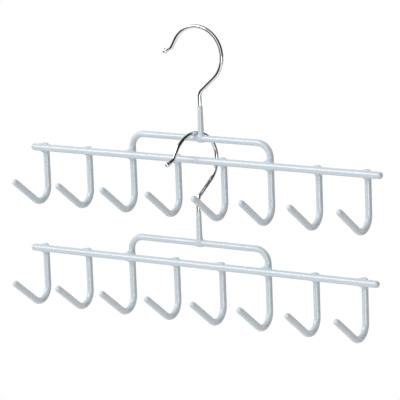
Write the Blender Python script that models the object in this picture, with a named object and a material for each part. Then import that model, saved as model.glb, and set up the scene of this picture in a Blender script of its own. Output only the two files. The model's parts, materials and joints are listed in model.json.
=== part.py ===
"""Two linked hat hangers, each a coated wire frame with eight arms under a chrome hook.

Each hanger is a straight crossbar with eight J-shaped arms behind it. The third and the
sixth arm are the two ends of one wire, which rises over the bar as a flat bow. A sleeve
stands on the bow and holds the chrome hook, whose shank turns in it. The lower hanger
hangs by its own hook from the upper hanger's bow.

Units are metres, +X runs along the bars, -Y is the front, where the arms point, and +Z
is up. The origin is where the upper hook's crown rests on a rail.
"""

import math

import bmesh
import bpy
from mathutils import Vector

MM = 0.001

# Frame wires, measured over their soft coating: the crossbar's, and the arms' and bow's
BAR_WIRE = 5.9 * MM
ARM_WIRE = 5.4 * MM
WELD_CLEARANCE = 0.3 * MM
FRAME_SIDES_STEP = 4

# Crossbar, from the axis of its first arm to the axis of its last one
ARM_COUNT = 8
ARM_PITCH = 45.0 * MM
BAR_OVERHANG_LEFT = 10.5 * MM
BAR_OVERHANG_RIGHT = 16.5 * MM

# Arms: a straight shank, one bend forward and a rising prong
ARM_TOP_STAND = 0.1 * MM
ARM_DROP = 45.3 * MM
ARM_BEND_RADIUS = 11.7 * MM
PRONG_RISE_ANGLE = 36.2
PRONG_LENGTH = 36.3 * MM

# Bow: the wire between the two arms that it ends in, counted from the left
BOW_LEFT_ARM = 3
BOW_RIGHT_ARM = 6
BOW_RISE = 17.3 * MM
BOW_CORNER_RADIUS = 11.5 * MM

# Sleeve on the bow, with the bore that the hook turns in
STEM_OFFSET = 1.2 * MM
SLEEVE_HEIGHT = 26.7 * MM
SLEEVE_TOP_WALL = 0.65 * MM
SLEEVE_FOOT_WALL = 0.6 * MM
SLEEVE_FLARE = 0.4 * MM
SLEEVE_FLARE_HEIGHT = 2.2 * MM
SLEEVE_EDGE = 0.25 * MM
SLEEVE_SIDES = 20

# Hook wire, its thinner journal in the sleeve, and the rivet head that keeps it there
HOOK_WIRE = 3.2 * MM
JOURNAL_DIAMETER = 2.4 * MM
RIVET_HEAD_DIAMETER = 3.2 * MM
RIVET_HEAD_HEIGHT = 1.5 * MM
SWIVEL_CLEARANCE = 0.3 * MM
SHOULDER_CHAMFER = 0.3 * MM
HOOK_SIDES_STEP = 3

# Hook shape, as the wire is bent from its shank to its tip
NECK_HEIGHT = 8.3 * MM
NECK_BEND_RADIUS = 7.0 * MM
NECK_BEND_ANGLE = 49.0
RING_RADIUS = 24.0 * MM
RING_OFFSET = -1.25 * MM
RING_ANGLE = 199.0
THROAT_LENGTH = 6.5 * MM
LIP_BEND_RADIUS = 5.0 * MM
LIP_BEND_ANGLE = 36.0
LIP_LENGTH = 7.4 * MM
TIP_DIAMETER = 4.4 * MM

# How the lower hanger hangs on the upper one
LINK_HOOK_TURN = 76.0
LINK_CLEARANCE = 0.3 * MM
LINK_SIDE_CLEARANCE = 0.65 * MM

# Fineness: degrees of bend to a step, steps of a domed end, and the largest smooth edge
FRAME_BEND_STEP = 13.0
HOOK_BEND_STEP = 8.0
DOME_ANGLES = (15.0, 42.0, 66.0, 90.0)
SMOOTH_ANGLE = 40.0

COAT_COLOUR = (0.60, 0.69, 0.75, 1.0)
COAT_ROUGHNESS = 0.35
CHROME_COLOUR = (0.82, 0.83, 0.85, 1.0)
CHROME_ROUGHNESS = 0.08

# Places worked out from the sizes above, from the crossbar's axis midway along the arms
BAR_RADIUS = BAR_WIRE / 2
ARM_RADIUS = ARM_WIRE / 2
HOOK_RADIUS = HOOK_WIRE / 2
ARM_SETBACK = BAR_RADIUS + ARM_RADIUS + WELD_CLEARANCE
ARM_ROW_HALF = ARM_PITCH * (ARM_COUNT - 1) / 2
SADDLE_RADIUS = ARM_RADIUS + WELD_CLEARANCE
SADDLE_TOP = BOW_RISE + SADDLE_RADIUS
BORE_RADIUS = JOURNAL_DIAMETER / 2 + SWIVEL_CLEARANCE
CHAMBER_RADIUS = RIVET_HEAD_DIAMETER / 2 + SWIVEL_CLEARANCE
SLEEVE_FOOT_RADIUS = CHAMBER_RADIUS + SLEEVE_FOOT_WALL
SLEEVE_FLARE_RADIUS = SLEEVE_FOOT_RADIUS + SLEEVE_FLARE
SLEEVE_TOP = BOW_RISE + SLEEVE_HEIGHT
NECK_START = SLEEVE_TOP + NECK_HEIGHT


def clear_scene():
    """Remove whatever the scene holds."""
    for thing in list(bpy.data.objects):
        bpy.data.objects.remove(thing, do_unlink=True)


def make_material(name, colour, roughness, metallic):
    """Return a material with one plain finish."""
    material = bpy.data.materials.new(name)
    material.use_nodes = True
    shader = material.node_tree.nodes["Principled BSDF"]
    shader.inputs["Base Color"].default_value = colour
    shader.inputs["Roughness"].default_value = roughness
    shader.inputs["Metallic"].default_value = metallic
    return material


def coat_material(name):
    """Return the pale blue soft coating of one frame piece."""
    return make_material(name + "_coating", COAT_COLOUR, COAT_ROUGHNESS, 0.0)


def chrome_material(name):
    """Return the bright plating of one hook."""
    return make_material(name + "_plating", CHROME_COLOUR, CHROME_ROUGHNESS, 1.0)


def add_pivot(name, place, parent=None):
    """Add an empty on a joint's axis, and return it with its place in the world."""
    pivot = bpy.data.objects.new(name, None)
    pivot.empty_display_size = HOOK_WIRE
    pivot.location = place
    if parent is not None:
        pivot.parent = parent[0]
        pivot.location = place - parent[1]
    bpy.context.collection.objects.link(pivot)
    return pivot, place


def add_piece(name, data, pivot, material):
    """Add one piece, made about its pivot, with its material."""
    piece = bpy.data.objects.new(name, data)
    piece.parent = pivot[0]
    data.materials.append(material)
    bpy.context.collection.objects.link(piece)
    return piece


def bend_path(start, heading, moves, bend_step):
    """Follow straight runs and bends in a plane, as a wire bender makes them.

    A move is ("run", length) or ("bend", radius, angle), and a positive angle turns left.
    The result is the path's points.
    """
    place = Vector(start)
    heading = math.radians(heading)
    points = [place.copy()]
    for move in moves:
        if move[0] == "run":
            place = place + move[1] * Vector((math.cos(heading), math.sin(heading)))
            points.append(place.copy())
            continue
        side = math.copysign(move[1], move[2])
        centre = place + side * Vector((-math.sin(heading), math.cos(heading)))
        steps = math.ceil(abs(move[2]) / bend_step)
        for step in range(1, steps + 1):
            turned = heading + math.radians(move[2]) * step / steps
            points.append(centre - side * Vector((-math.sin(turned), math.cos(turned))))
        heading += math.radians(move[2])
        place = points[-1].copy()
    return points


def domed_end(end, inner, wire_radius, end_radius):
    """Return the points and radii that round a wire's end, from its end inwards."""
    inward = (inner - end).normalized()
    rounding = []
    for angle in DOME_ANGLES:
        depth = end_radius * (1 - math.cos(math.radians(angle)))
        rounding.append((end + inward * depth, end_radius * math.sin(math.radians(angle))))
    if end_radius > wire_radius:
        rounding.append((end + inward * end_radius * 2, wire_radius))
    return rounding


def add_wire(name, stations, pivot, material, sides_step):
    """Add a round wire through its stations, each a point in the world and a radius."""
    curve = bpy.data.curves.new(name, "CURVE")
    curve.dimensions = "3D"
    curve.bevel_depth = 1.0 * MM
    curve.bevel_resolution = sides_step
    curve.use_fill_caps = True
    spline = curve.splines.new("POLY")
    spline.points.add(len(stations) - 1)
    for point, (place, radius) in zip(spline.points, stations):
        point.co = (*(place - pivot[1]), 1.0)
        point.radius = radius / curve.bevel_depth
    return add_piece(name, curve, pivot, material)


def frame_stations(points, radius):
    """Return a frame wire's stations, domed at both ends."""
    first = domed_end(points[0], points[1], radius, radius)
    last = domed_end(points[-1], points[-2], radius, radius)
    middle = [(point, radius) for point in points[1:-1]]
    return first + middle + last[::-1]


def arm_x(number):
    """Return how far along the bar an arm stands, counted from 1 at the left."""
    return (number - 1) * ARM_PITCH - ARM_ROW_HALF


def arm_points(datum, number, top):
    """Return an arm's axis, from a height on its shank to its prong's tip."""
    bend_start = ARM_BEND_RADIUS - ARM_DROP
    moves = [
        ("run", top - bend_start),
        ("bend", ARM_BEND_RADIUS, 90.0 + PRONG_RISE_ANGLE),
        ("run", PRONG_LENGTH),
    ]
    profile = bend_path((0.0, top), -90.0, moves, FRAME_BEND_STEP)
    return [datum + Vector((arm_x(number), ARM_SETBACK - out, up)) for out, up in profile]


def add_arm(tier, datum, pivot, number):
    """Add one arm that is welded behind the crossbar."""
    name = f"{tier}_arm_{number}"
    points = arm_points(datum, number, BAR_RADIUS + ARM_TOP_STAND)
    stations = frame_stations(points, ARM_RADIUS)
    add_wire(name, stations, pivot, coat_material(name), FRAME_SIDES_STEP)


def add_bow(tier, datum, pivot):
    """Add the wire that makes the bow and, with its two ends, two of the arms."""
    name = f"{tier}_bow"
    corner_start = BOW_RISE - BOW_CORNER_RADIUS
    left = arm_points(datum, BOW_LEFT_ARM, corner_start)
    right = arm_points(datum, BOW_RIGHT_ARM, corner_start)
    straight = arm_x(BOW_RIGHT_ARM) - arm_x(BOW_LEFT_ARM) - 2 * BOW_CORNER_RADIUS
    moves = [
        ("bend", BOW_CORNER_RADIUS, -90.0),
        ("run", straight),
        ("bend", BOW_CORNER_RADIUS, -90.0),
    ]
    arch = bend_path((arm_x(BOW_LEFT_ARM), corner_start), 90.0, moves, FRAME_BEND_STEP)
    over = [datum + Vector((along, ARM_SETBACK, up)) for along, up in arch]
    stations = frame_stations(left[::-1] + over[1:-1] + right, ARM_RADIUS)
    add_wire(name, stations, pivot, coat_material(name), FRAME_SIDES_STEP)


def add_crossbar(tier, datum, pivot):
    """Add the straight bar in front of the arms."""
    name = f"{tier}_crossbar"
    left = datum + Vector((-ARM_ROW_HALF - BAR_OVERHANG_LEFT, 0.0, 0.0))
    right = datum + Vector((ARM_ROW_HALF + BAR_OVERHANG_RIGHT, 0.0, 0.0))
    stations = frame_stations([left, right], BAR_RADIUS)
    add_wire(name, stations, pivot, coat_material(name), FRAME_SIDES_STEP)


def saddle_height(across):
    """Return the saddle's height over the bow wire, at a distance across the wire."""
    return BOW_RISE + math.sqrt(max(SADDLE_RADIUS**2 - across**2, 0.0))


def sleeve_rings():
    """Return the sleeve's closed section as radius and height, or None on the saddle."""
    ceiling = SADDLE_TOP + RIVET_HEAD_HEIGHT + SWIVEL_CLEARANCE
    top = BORE_RADIUS + SLEEVE_TOP_WALL
    flare_start = SADDLE_TOP + SLEEVE_FLARE_HEIGHT
    flare_middle = (SLEEVE_FOOT_RADIUS * 3 + SLEEVE_FLARE_RADIUS) / 4
    return [
        (BORE_RADIUS, SLEEVE_TOP),
        (top - SLEEVE_EDGE, SLEEVE_TOP),
        (top, SLEEVE_TOP - SLEEVE_EDGE),
        (SLEEVE_FOOT_RADIUS, flare_start),
        (flare_middle, (SADDLE_TOP + flare_start) / 2),
        (SLEEVE_FLARE_RADIUS, SADDLE_TOP),
        (SLEEVE_FLARE_RADIUS, None),
        ((SLEEVE_FLARE_RADIUS + CHAMBER_RADIUS) / 2, None),
        (CHAMBER_RADIUS, None),
        (CHAMBER_RADIUS, ceiling),
        (BORE_RADIUS, ceiling),
    ]


def add_sleeve(tier, datum, pivot):
    """Add the tube that stands astride the bow and carries the hook."""
    name = f"{tier}_hook_sleeve"
    stem = datum + Vector((STEM_OFFSET, ARM_SETBACK, 0.0)) - pivot[1]
    shape = bmesh.new()
    rings = []
    for radius, height in sleeve_rings():
        ring = []
        for side in range(SLEEVE_SIDES):
            angle = math.tau * side / SLEEVE_SIDES
            across = radius * math.sin(angle)
            up = saddle_height(across) if height is None else height
            place = stem + Vector((radius * math.cos(angle), across, up))
            ring.append(shape.verts.new(place))
        rings.append(ring)
    for ring, following in zip(rings, rings[1:] + rings[:1]):
        for side in range(SLEEVE_SIDES):
            after = (side + 1) % SLEEVE_SIDES
            shape.faces.new((ring[side], ring[after], following[after], following[side]))
    bmesh.ops.recalc_face_normals(shape, faces=shape.faces)
    mesh = bpy.data.meshes.new(name)
    shape.to_mesh(mesh)
    shape.free()
    mesh.shade_smooth()
    mesh.set_sharp_from_angle(angle=math.radians(SMOOTH_ANGLE))
    add_piece(name, mesh, pivot, coat_material(name))


def slant_length():
    """Return the length of the straight run between the neck's bend and the ring."""
    rising = math.radians(90.0 - NECK_BEND_ANGLE)
    neck_reach = NECK_BEND_RADIUS * (1 - math.sin(rising))
    ring_reach = RING_OFFSET + RING_RADIUS * math.sin(rising)
    return (ring_reach - neck_reach) / math.cos(rising)


def crown_height():
    """Return the height of the ring's highest axis point over the crossbar's axis."""
    rising = math.radians(90.0 - NECK_BEND_ANGLE)
    bends_rise = (NECK_BEND_RADIUS + RING_RADIUS) * math.cos(rising)
    return NECK_START + bends_rise + slant_length() * math.sin(rising) + RING_RADIUS


def hook_profile():
    """Return the hook's axis from its neck up, as distance out and height."""
    moves = [
        ("bend", NECK_BEND_RADIUS, -NECK_BEND_ANGLE),
        ("run", slant_length()),
        ("bend", RING_RADIUS, RING_ANGLE),
        ("run", THROAT_LENGTH),
        ("bend", LIP_BEND_RADIUS, -LIP_BEND_ANGLE),
        ("run", LIP_LENGTH),
    ]
    return bend_path((0.0, NECK_START), 90.0, moves, HOOK_BEND_STEP)


def hook_stations(datum, turn):
    """Return a hook's stations from its rivet head to its tip, turned about its stem."""
    head_top = SADDLE_TOP + RIVET_HEAD_HEIGHT
    shoulder = SLEEVE_TOP + SWIVEL_CLEARANCE
    shank = [
        (SADDLE_TOP, RIVET_HEAD_DIAMETER / 2 - SHOULDER_CHAMFER),
        (SADDLE_TOP + SHOULDER_CHAMFER, RIVET_HEAD_DIAMETER / 2),
        (head_top - SHOULDER_CHAMFER, RIVET_HEAD_DIAMETER / 2),
        (head_top, JOURNAL_DIAMETER / 2),
        (shoulder, JOURNAL_DIAMETER / 2),
        (shoulder + SHOULDER_CHAMFER, HOOK_RADIUS),
    ]
    facing = Vector((math.cos(math.radians(turn)), math.sin(math.radians(turn)), 0.0))
    stem = datum + Vector((STEM_OFFSET, ARM_SETBACK, 0.0))
    upward = Vector((0.0, 0.0, 1.0))
    stations = [(stem + upward * height, radius) for height, radius in shank]
    axis = [stem + facing * out + upward * height for out, height in hook_profile()]
    stations += [(point, HOOK_RADIUS) for point in axis[:-1]]
    tip = domed_end(axis[-1], axis[-2], HOOK_RADIUS, TIP_DIAMETER / 2)
    return stations + tip[::-1]


def add_hook(tier, datum, pivot, turn):
    """Add one chrome hook."""
    name = f"{tier}_hook"
    add_wire(name, hook_stations(datum, turn), pivot, chrome_material(name), HOOK_SIDES_STEP)


def add_frame(tier, datum, pivot):
    """Add one hanger's frame: crossbar, bow, sleeve and the arms that the bow lacks."""
    add_crossbar(tier, datum, pivot)
    add_bow(tier, datum, pivot)
    add_sleeve(tier, datum, pivot)
    for number in range(1, ARM_COUNT + 1):
        if number not in (BOW_LEFT_ARM, BOW_RIGHT_ARM):
            add_arm(tier, datum, pivot, number)


def build():
    """Build both hangers, linked."""
    clear_scene()
    crown = crown_height()
    upper = Vector((-STEM_OFFSET - RING_OFFSET, -ARM_SETBACK, HOOK_RADIUS - crown))
    crossing = HOOK_RADIUS / math.sin(math.radians(LINK_HOOK_TURN))
    link_shift = -SLEEVE_FLARE_RADIUS - LINK_SIDE_CLEARANCE - crossing
    link_rise = BOW_RISE + ARM_RADIUS + LINK_CLEARANCE + HOOK_RADIUS
    lower = upper + Vector((link_shift, 0.0, link_rise - crown))
    sleeve_seat = Vector((STEM_OFFSET, ARM_SETBACK, SLEEVE_TOP))
    bow_seat = Vector((STEM_OFFSET + link_shift, ARM_SETBACK, BOW_RISE))

    rail = add_pivot("rail_seat", Vector((0.0, 0.0, 0.0)))
    upper_swivel = add_pivot("upper_frame_swivel", upper + sleeve_seat, rail)
    link = add_pivot("lower_hook_swing", upper + bow_seat, upper_swivel)
    lower_swivel = add_pivot("lower_frame_swivel", lower + sleeve_seat, link)

    add_hook("upper", upper, rail, 0.0)
    add_frame("upper", upper, upper_swivel)
    add_hook("lower", lower, link, LINK_HOOK_TURN)
    add_frame("lower", lower, lower_swivel)


build()
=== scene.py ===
"""Dress two linked hat hangers: coated wire frames under bright plated hooks.

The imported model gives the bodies, the nodes and the joints. Each node gets a finer piece of
its own, and the welds and the foot of each stem get the webs that a thick coating leaves
there. The studio is a pale floor in soft light, seen from where the photograph was taken.
"""

import json
import logging
import math
from dataclasses import dataclass
from enum import Enum
from typing import Callable

import bpy
import numpy as np
from mathutils import Matrix, Vector


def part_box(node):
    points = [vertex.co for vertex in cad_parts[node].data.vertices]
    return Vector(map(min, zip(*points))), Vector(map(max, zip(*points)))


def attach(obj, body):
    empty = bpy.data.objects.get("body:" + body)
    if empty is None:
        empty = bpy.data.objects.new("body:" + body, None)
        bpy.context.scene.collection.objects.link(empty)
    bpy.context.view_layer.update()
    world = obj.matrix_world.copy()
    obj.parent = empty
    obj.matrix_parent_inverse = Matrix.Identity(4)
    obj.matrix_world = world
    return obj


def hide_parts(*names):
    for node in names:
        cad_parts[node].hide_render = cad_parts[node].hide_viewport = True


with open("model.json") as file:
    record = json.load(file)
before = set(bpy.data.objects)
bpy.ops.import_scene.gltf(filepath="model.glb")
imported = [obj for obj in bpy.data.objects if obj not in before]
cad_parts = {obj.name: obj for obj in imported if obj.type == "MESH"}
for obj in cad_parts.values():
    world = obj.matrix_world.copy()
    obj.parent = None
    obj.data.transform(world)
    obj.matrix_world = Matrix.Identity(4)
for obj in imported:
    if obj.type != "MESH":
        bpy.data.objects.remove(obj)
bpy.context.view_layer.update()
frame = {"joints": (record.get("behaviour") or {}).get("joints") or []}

LOG = logging.getLogger("hat_hanger")
MM = 0.001
TINY = 1e-9
RIGHT = Vector((1.0, 0.0, 0.0))
FRONT = Vector((0.0, -1.0, 0.0))
UP = Vector((0.0, 0.0, 1.0))

Array = np.ndarray
Face = tuple[int, ...]
Field = Callable[[Array], Array]
Pair = Callable[[Array], tuple[Array, Array]]
Colour = tuple[float, float, float, float]
Sizes = tuple[float, float, float]
Range = tuple[float, float]
Socket = bpy.types.NodeSocket
Sockets = bpy.types.bpy_prop_collection
Input = float | Colour | Socket


class Tier(Enum):
    """The two hangers, one hanging from the other."""

    UPPER = "upper"
    LOWER = "lower"


class Slot(Enum):
    """The record's material slots."""

    COATING = "coating"
    PLATING = "plating"


class EndShape(Enum):
    """How square a wire's end is: 2 is a ball, and more is squarer."""

    BAR = 2.35
    PRONG = 2.1
    BALL = 2.0


@dataclass
class Shell:
    """A closed mesh that knows how much coating has pooled at each point, and how much painted shade lies
    there.
    """

    points: Array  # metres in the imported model's frame
    faces: list[Face]  # anticlockwise seen from outside
    pooling_and_shade: Array  # from 0, the usual thickness, to 1, the thickest coating at a wire's ends and the deepest painted shade in a web's crease
    normals: Array | None = None  # the true directions, where they are known

    def to_piece(self, name: str, material: bpy.types.Material) -> bpy.types.Object:
        """Make a Blender object of the shell.

        Args:
            name: The piece's name.
            material: Its finish.

        Returns:
            The new object, linked to the scene.
        """
        mesh = bpy.data.meshes.new(name)
        mesh.from_pydata(self.points.tolist(), [], self.faces)
        layer = mesh.attributes.new("pooling_and_shade", "FLOAT", "POINT")
        layer.data.foreach_set("value", self.pooling_and_shade.astype(np.float32))
        mesh.shade_smooth()
        if self.normals is not None:
            mesh.normals_split_custom_set_from_vertices(self.normals.tolist())
        mesh.materials.append(material)
        piece = bpy.data.objects.new(name, mesh)
        bpy.context.scene.collection.objects.link(piece)
        return piece


def join_rings(lower: Array, upper: Array, sides: int) -> list[Face]:
    """Join each ring of points to another one with four-sided faces.

    Args:
        lower: The first point number of each ring.
        upper: The first point number of the ring that it is joined to.
        sides: The points in a ring.

    Returns:
        The faces, which face outward where the rings turn anticlockwise seen from the upper one.
    """
    side = np.arange(sides)
    after = (side + 1) % sides
    low, high = lower[:, None], upper[:, None]
    quads = np.stack([low + side, low + after, high + after, high + side], axis=2)
    return [tuple(quad) for quad in quads.reshape(-1, 4).tolist()]


def unit(angle: float) -> Array:
    """Return the unit direction at an angle in radians."""
    return np.array([math.cos(angle), math.sin(angle)])


def circle(sides: int) -> Array:
    """Return the unit directions round a circle, anticlockwise."""
    angles = math.tau * np.arange(sides) / sides
    return np.stack([np.cos(angles), np.sin(angles)], axis=1)


def walked(axis: Array) -> Array:
    """Return how far along an axis each of its points lies."""
    return np.concatenate([[0.0], np.cumsum(np.linalg.norm(np.diff(axis, axis=0), axis=1))])


def domed_end(radius: float, shape: EndShape, rings: int = 13) -> Array:
    """Round off a wire's end.

    Args:
        radius: The wire's radius.
        shape: How square the end is.
        rings: The number of rings from the pole to the full radius.

    Returns:
        How far in each ring lies, and its radius.
    """
    angles = np.radians(np.linspace(0.0, 90.0, rings))
    wide = (1.0 - np.cos(angles) ** shape.value) ** (1.0 / shape.value)
    return radius * np.stack([1.0 - np.cos(angles), wide], axis=1)


def fill_rows(start: Array, end: Array, length: float, count: int) -> Array:
    """Put the plain wire between a wire's two ends.

    Args:
        start: How far in each ring of the first end lies, and its radius.
        end: The same for the last end, seen from its own pole.
        length: The wire's length.
        count: The number of rings from one end's last ring to the other's, both counted.

    Returns:
        Each ring's distance along the wire and its radius.
    """
    tail = np.stack([length - end[::-1, 0], end[::-1, 1]], axis=1)
    along = np.linspace(start[-1, 0], tail[0, 0], count)[1:-1]
    plain = np.stack([along, np.full_like(along, start[-1, 1])], axis=1)
    return np.concatenate([start, plain, tail])


class WirePath:
    """A wire's axis in one plane, followed as a wire bender makes it."""

    BEND_STEP = 1.0  # degrees

    def __init__(self, start: tuple[float, float], heading: float) -> None:
        """Start at a distance along and a height, with a heading in degrees from level."""
        self.points: list[Array] = [np.array(start, float)]
        self.heading = math.radians(heading)

    def run(self, length: float) -> "WirePath":
        """Go straight on for a length, and return the path."""
        self.points.append(self.points[-1] + length * unit(self.heading))
        return self

    def bend(self, radius: float, angle: float) -> "WirePath":
        """Go round a bend.

        Args:
            radius: The bend's radius at the axis.
            angle: How far it turns, in degrees, and positive to the left.

        Returns:
            The path itself.
        """
        side = math.copysign(radius, angle)
        centre = self.points[-1] + side * unit(self.heading + math.pi / 2)
        steps = math.ceil(abs(angle) / self.BEND_STEP)
        for step in range(1, steps + 1):
            turned = self.heading + math.radians(angle) * step / steps
            self.points.append(centre - side * unit(turned + math.pi / 2))
        self.heading += math.radians(angle)
        return self

    def stand(self, origin: Vector, along: Vector) -> Array:
        """Return the path's points, stood upright over an origin and a level unit direction."""
        flat = np.array(self.points)
        return np.array(origin) + flat[:, :1] * np.array(along) + flat[:, 1:] * np.array(UP)


@dataclass(frozen=True)
class WireSkin:
    """How a round wire's surface is drawn along its axis."""

    sides: int = 40
    ripple: float = 0.0  # how far the coating's thickness varies, as a share of the radius
    seed: float = 0.0  # shifts the ripple, so that no two wires match
    pool_reach: float = 0.0  # how far from its ends the coating is thick

    PROBE = 0.2 * MM
    # Each wave's length, its turns round the wire and its shift
    WAVES = ((61.0 * MM, 0.0, 1.7), (23.0 * MM, 1.0, 4.1), (9.5 * MM, -2.0, 2.9))

    def thickness(self, along: Array) -> Array:
        """Find how thick the coated wire is.

        Args:
            along: Each ring's distance along the wire.

        Returns:
            The share of the full radius at each ring and each side.
        """
        angles = math.tau * np.arange(self.sides) / self.sides
        waves = np.zeros((len(along), self.sides))
        for length, turns, shift in self.WAVES:
            lengthwise = math.tau * along / length + shift * (self.seed + 1.0)
            waves += np.sin(lengthwise[:, None] + turns * angles)
        return 1.0 - self.ripple * (0.5 + waves / (2 * len(self.WAVES)))

    def sweep(self, axis: Array, rows: Array) -> Shell:
        """Draw the wire round its axis.

        Args:
            axis: The axis as points, close together in its bends.
            rows: Each ring's distance along the axis and its radius, from pole to pole.

        Returns:
            The closed wire.
        """
        travelled = walked(axis)
        along = rows[:, 0]

        def at(distances: Array) -> Array:
            """Return the axis's points at distances along it."""
            return np.stack([np.interp(distances, travelled, axis[:, k]) for k in range(3)], axis=1)

        ahead = at(along + self.PROBE) - at(along - self.PROBE)
        ahead /= np.linalg.norm(ahead, axis=1)[:, None]
        outward = self.carry(ahead)
        beside = np.cross(ahead, outward)
        radii = (rows[:, 1:] * self.thickness(along))[:, :, None]
        rounds = circle(self.sides)
        around = rounds[:, :1] * outward[:, None] + rounds[:, 1:] * beside[:, None]
        places = at(along)
        rings = places[:, None] + radii * around
        points = np.concatenate([places[:1], rings[1:-1].reshape(-1, 3), places[-1:]])
        pooled = np.zeros_like(along)
        if self.pool_reach:
            pooled = np.exp(-((np.minimum(along, travelled[-1] - along) / self.pool_reach) ** 2))
        pooling_and_shade = np.concatenate([pooled[:1], np.repeat(pooled[1:-1], self.sides), pooled[-1:]])
        return Shell(points, self.faces(len(along) - 2), pooling_and_shade)

    def carry(self, ahead: Array) -> Array:
        """Carry a direction across the wire along it with no twist.

        Args:
            ahead: The wire's unit direction at each ring.

        Returns:
            The carried direction at each ring.
        """
        across = np.eye(3)[np.argmin(np.abs(ahead[0]))]
        carried = []
        for direction in ahead:
            across = across - direction * (across @ direction)
            across = across / np.linalg.norm(across)
            carried.append(across)
        return np.array(carried)

    def faces(self, rings: int) -> list[Face]:
        """Join the rings to each other, and the first and the last to the two poles.

        Args:
            rings: The number of rings between the poles.

        Returns:
            The faces.
        """
        starts = 1 + np.arange(rings) * self.sides
        found = join_rings(starts[:-1], starts[1:], self.sides)
        top = int(starts[-1])
        for one in range(self.sides):
            other = (one + 1) % self.sides
            found += [(0, 1 + other, 1 + one), (top + one, top + other, top + self.sides)]
        return found


class FieldMesher:
    """Draws the closed surface where a distance field is zero, one point to each cell."""

    CORNERS = np.array([(x, y, z) for x in (0, 1) for y in (0, 1) for z in (0, 1)])
    MARGIN = 2  # cells
    SETTLE_STEPS = 5
    LEAST_STEEPNESS = 0.25
    PROBE = 0.01 * MM

    def __init__(self, shape: Field, low: Vector, high: Vector, cell: float) -> None:
        """Keep what is to be drawn.

        Args:
            shape: The distance field, negative inside.
            low: The lowest corner of the space that holds the whole surface.
            high: Its highest corner.
            cell: The cells' size.
        """
        self.shape = shape
        self.cell = cell
        self.low = np.array(low) - self.MARGIN * cell
        self.counts = np.ceil((np.array(high) - self.low) / cell).astype(int) + self.MARGIN + 1

    def slope(self, points: Array) -> Array:
        """Find the field's gradient.

        Args:
            points: Where to find it.

        Returns:
            The gradient at each point.
        """
        columns = []
        for step in np.eye(3) * self.PROBE:
            rise = self.shape(points + step) - self.shape(points - step)
            columns.append(rise / (2 * self.PROBE))
        return np.stack(columns, axis=1)

    def crossings(self, values: Array) -> tuple[Array, Array]:
        """Find where the surface crosses each cell's edges.

        Args:
            values: The field at each corner of the grid.

        Returns:
            The number of crossed edges in each cell, and the sum of their crossing points,
            counted in cells from the cell's lowest corner.
        """
        size = self.counts - 1
        count = np.zeros(size)
        total = np.zeros((*size, 3))

        def at(corner: Array) -> Array:
            """Return the field at one corner of every cell."""
            return values[tuple(slice(first, first + n) for first, n in zip(corner, size))]

        for corner in self.CORNERS:
            for axis in np.flatnonzero(corner == 0):
                step = np.eye(3, dtype=int)[axis]
                here, there = at(corner), at(corner + step)
                crossed = (here < 0) != (there < 0)
                share = here / np.where(crossed, here - there, 1.0)
                place = corner + share[..., None] * step
                count += crossed
                total += np.where(crossed[..., None], place, 0.0)
        return count, total

    def draw(self) -> tuple[Array, list[Face], Array]:
        """Draw the surface.

        Returns:
            The points, the faces and the surface's direction at each point.
        """
        grids = np.meshgrid(*[np.arange(n) for n in self.counts], indexing="ij")
        corners = self.low + self.cell * np.stack([grid.ravel() for grid in grids], axis=1)
        values = self.shape(corners).reshape(self.counts)
        count, total = self.crossings(values)
        active = count > 0
        number = np.full(count.shape, -1)
        number[active] = np.arange(active.sum())
        points = self.low + self.cell * (np.argwhere(active) + total[active] / count[active][:, None])
        for _ in range(self.SETTLE_STEPS):
            slope = self.slope(points)
            steepness = np.maximum((slope**2).sum(axis=1), self.LEAST_STEEPNESS)
            move = -(self.shape(points) / steepness)[:, None] * slope
            points = points + np.clip(move, -self.cell / 2, self.cell / 2)
        slope = self.slope(points)
        normals = slope / np.maximum(np.linalg.norm(slope, axis=1), TINY)[:, None]
        return points, self.join(values < 0, number), normals

    def join(self, inside: Array, number: Array) -> list[Face]:
        """Join the four cells round each crossed edge of the grid.

        Args:
            inside: Whether each corner of the grid is in the solid.
            number: Each cell's point number.

        Returns:
            The faces, turning anticlockwise seen from outside.
        """
        found: list[Face] = []
        for axis in range(3):
            _, one, two = np.roll(np.eye(3, dtype=int), -axis, axis=0)
            edges = np.argwhere(inside != np.roll(inside, -1, axis=axis))
            edges = edges[edges[:, axis] < inside.shape[axis] - 1]
            leaving = inside[tuple(edges.T)]
            around = [edges - one - two, edges - two, edges, edges - one]
            quads = np.stack([number[tuple(cells.T)] for cells in around], axis=1)
            quads = np.where(leaving[:, None], quads, quads[:, ::-1])
            found += [tuple(quad) for quad in quads.tolist()]
        return found


class Solids:
    """Distance fields of the simple solids that the coating bridges, negative inside."""

    @staticmethod
    def rod(points: Array, start: Vector, end: Vector, radius: float) -> Array:
        """Measure from a rod with round ends.

        Args:
            points: Where to measure.
            start: The centre of one end.
            end: The centre of the other end.
            radius: The rod's radius.

        Returns:
            The distances.
        """
        first = np.array(start)
        line = np.array(end) - first
        share = np.clip((points - first) @ line / (line @ line), 0.0, 1.0)
        return np.linalg.norm(points - first - share[:, None] * line, axis=1) - radius

    @staticmethod
    def bead(points: Array, centre: Vector, reach: Sizes) -> Array:
        """Measure from an oval bead, roughly.

        Args:
            points: Where to measure.
            centre: The bead's centre.
            reach: Its half sizes.

        Returns:
            The distances.
        """
        scaled = (points - np.array(centre)) / np.array(reach)
        size = np.linalg.norm(scaled, axis=1)
        steepness = np.linalg.norm(scaled / np.array(reach), axis=1)
        return size * (size - 1.0) / np.maximum(steepness, TINY)

    @staticmethod
    def bridge(one: Array, other: Array, radius: float) -> Array:
        """Return the distance to two solids joined with a hollow fillet, from those to each."""
        rest = np.hypot(np.maximum(radius - one, 0.0), np.maximum(radius - other, 0.0))
        return np.maximum(radius, np.minimum(one, other)) - rest


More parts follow.
